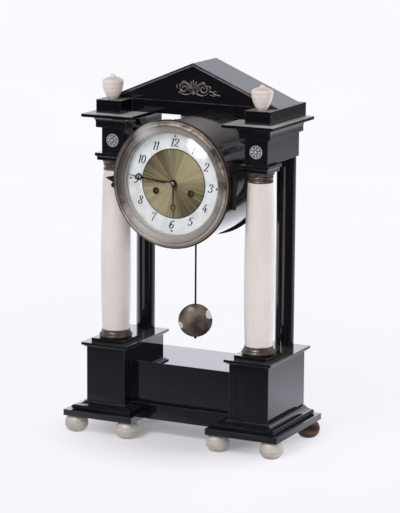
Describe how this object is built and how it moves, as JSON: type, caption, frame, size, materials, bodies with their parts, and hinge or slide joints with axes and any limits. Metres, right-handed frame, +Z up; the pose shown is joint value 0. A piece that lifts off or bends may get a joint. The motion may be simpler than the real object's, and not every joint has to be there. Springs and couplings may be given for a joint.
{
  "type": "portico mantel clock",
  "caption": "Portico mantel clock: ebonised wooden case on bun feet, alabaster columns carrying a drum head under a pediment, with a pendulum and a two-train striking movement.",
  "frame": {"origin": "on the floor under the middle of the clock", "axes": "+Z up, the dial faces -Y, +X to the right seen from the front"},
  "size_m": [0.295, 0.138, 0.46],
  "materials": {
    "ebonised_wood": "glossy black lacquer",
    "brown_wood": "satin",
    "alabaster": "polished",
    "patinated_brass": "dark patina",
    "worn_brass": "aged",
    "gilt_brass": "engine turned",
    "movement_brass": "brushed",
    "bell_metal": "polished",
    "silvered_brass": "silvered",
    "bronzed_bob": "dark bronze",
    "black_lacquer": "satin",
    "enamel": "glossy",
    "blued_steel": "blued",
    "steel": "bright",
    "glass": "clear"
  },
  "bodies": {
    "case": {"feet_alabaster": "alabaster", "foot_wood": "brown_wood", "plinth_left": "ebonised_wood", "plinth_right": "ebonised_wood", "pedestal_left": "ebonised_wood", "pedestal_right": "ebonised_wood", "pedestal_caps": "ebonised_wood", "base_block": "ebonised_wood", "base_apron": "ebonised_wood", "column_socles": "ebonised_wood", "column_bases": "patinated_brass", "column_left": "alabaster", "column_right": "alabaster", "capitals": "patinated_brass", "abaci": "ebonised_wood", "rear_columns": "ebonised_wood", "entablature_left": "ebonised_wood", "entablature_right": "ebonised_wood", "cornices": "ebonised_wood", "attic": "ebonised_wood", "pediment": "ebonised_wood", "roof_left": "ebonised_wood", "roof_right": "ebonised_wood", "finials": "alabaster", "rosettes": "silvered_brass", "tympanum_mount": "silvered_brass", "drum": "black_lacquer", "drum_rear_ring": "black_lacquer", "bezel_hinge": "patinated_brass", "dial_plate": "movement_brass", "dial_ring": "enamel", "dial_centre": "gilt_brass", "winding_collets": "patinated_brass", "front_plate": "movement_brass", "back_plate": "movement_brass", "clicks": "steel", "suspension": "movement_brass", "bell": "bell_metal", "bell_stand": "movement_brass"},
    "bezel": {"bezel": "worn_brass", "glass": "glass"},
    "rear_door": {"rear_door": "black_lacquer"},
    "minute": {"minute_hand": "blued_steel", "cannon_pinion": "steel"},
    "hour": {"hour_hand": "blued_steel", "hour_wheel": "movement_brass"},
    "minute_wheel": {"minute_wheel": "movement_brass"},
    "going_barrel": {"going_barrel": "movement_brass"},
    "going_arbor": {"going_arbor": "steel"},
    "centre_wheel": {"centre_wheel": "movement_brass"},
    "third_wheel": {"third_wheel": "movement_brass"},
    "escape_wheel": {"escape_wheel": "movement_brass"},
    "anchor": {"anchor": "steel"},
    "pendulum": {"pendulum": "steel", "pendulum_bob": "bronzed_bob"},
    "strike_barrel": {"strike_barrel": "movement_brass"},
    "strike_arbor": {"strike_arbor": "steel"},
    "strike_wheel": {"strike_wheel": "movement_brass"},
    "fly": {"fly": "movement_brass"},
    "hammer": {"hammer": "steel"}
  },
  "joints": [
    {"name": "bezel_open", "type": "hinge", "parent": "case", "child": "bezel", "pos_m": [0.0805, -0.0538, 0.3159], "axis": [0, 0, 1], "range_deg": [0, 115]},
    {"name": "rear_door_open", "type": "hinge", "parent": "case", "child": "rear_door", "pos_m": [-0.0762, 0.0642, 0.3209], "axis": [0, 0, 1], "range_deg": [0, 110]},
    {"name": "minute_turn", "type": "hinge", "parent": "case", "child": "minute", "pos_m": [0, -0.05, 0.3209], "axis": [0, 1, 0], "continuous": true},
    {"name": "hour_turn", "type": "hinge", "parent": "case", "child": "hour", "pos_m": [0, -0.049, 0.3209], "axis": [0, 1, 0], "continuous": true},
    {"name": "minute_wheel_turn", "type": "hinge", "parent": "case", "child": "minute_wheel", "pos_m": [0, -0.038, 0.3089], "axis": [0, 1, 0], "continuous": true},
    {"name": "going_barrel_turn", "type": "hinge", "parent": "case", "child": "going_barrel", "pos_m": [0.0233, -0.015, 0.3106], "axis": [0, 1, 0], "continuous": true},
    {"name": "going_arbor_wind", "type": "hinge", "parent": "case", "child": "going_arbor", "pos_m": [0.0233, -0.015, 0.3106], "axis": [0, 1, 0], "continuous": true},
    {"name": "centre_wheel_turn", "type": "hinge", "parent": "case", "child": "centre_wheel", "pos_m": [0, -0.02, 0.3209], "axis": [0, 1, 0], "continuous": true},
    {"name": "third_wheel_turn", "type": "hinge", "parent": "case", "child": "third_wheel", "pos_m": [0.01661, -0.02, 0.33834], "axis": [0, 1, 0], "continuous": true},
    {"name": "escape_wheel_turn", "type": "hinge", "parent": "case", "child": "escape_wheel", "pos_m": [0, -0.018, 0.34527], "axis": [0, 1, 0], "continuous": true},
    {"name": "anchor_rock", "type": "hinge", "parent": "case", "child": "anchor", "pos_m": [0, -0.018, 0.35928], "axis": [0, 1, 0], "range_deg": [-4, 4]},
    {"name": "pendulum_swing", "type": "hinge", "parent": "case", "child": "pendulum", "pos_m": [0, 0.0067, 0.35928], "axis": [0, 1, 0], "range_deg": [-4, 4]},
    {"name": "strike_barrel_turn", "type": "hinge", "parent": "case", "child": "strike_barrel", "pos_m": [-0.0233, -0.015, 0.3106], "axis": [0, 1, 0], "continuous": true},
    {"name": "strike_arbor_wind", "type": "hinge", "parent": "case", "child": "strike_arbor", "pos_m": [-0.0233, -0.015, 0.3106], "axis": [0, 1, 0], "continuous": true},
    {"name": "strike_wheel_turn", "type": "hinge", "parent": "case", "child": "strike_wheel", "pos_m": [-0.0233, -0.02, 0.33608], "axis": [0, 1, 0], "continuous": true},
    {"name": "fly_turn", "type": "hinge", "parent": "case", "child": "fly", "pos_m": [-0.02017, -0.018, 0.3538], "axis": [0, 1, 0], "continuous": true},
    {"name": "hammer_lift", "type": "hinge", "parent": "case", "child": "hammer", "pos_m": [-0.043, 0, 0.3349], "axis": [0, 1, 0], "range_deg": [0, 12]}
  ],
  "couplings": [
    {"joint": "hour_turn", "follows": "minute_turn", "ratio": 0.083333},
    {"joint": "minute_wheel_turn", "follows": "minute_turn", "ratio": -0.33333},
    {"joint": "centre_wheel_turn", "follows": "third_wheel_turn", "ratio": -0.083333},
    {"joint": "escape_wheel_turn", "follows": "third_wheel_turn", "ratio": -9},
    {"joint": "going_barrel_turn", "follows": "third_wheel_turn", "ratio": 0.011111},
    {"joint": "anchor_rock", "follows": "pendulum_swing", "ratio": 1},
    {"joint": "strike_barrel_turn", "follows": "strike_wheel_turn", "ratio": -0.13333},
    {"joint": "fly_turn", "follows": "strike_wheel_turn", "ratio": -9}
  ]
}
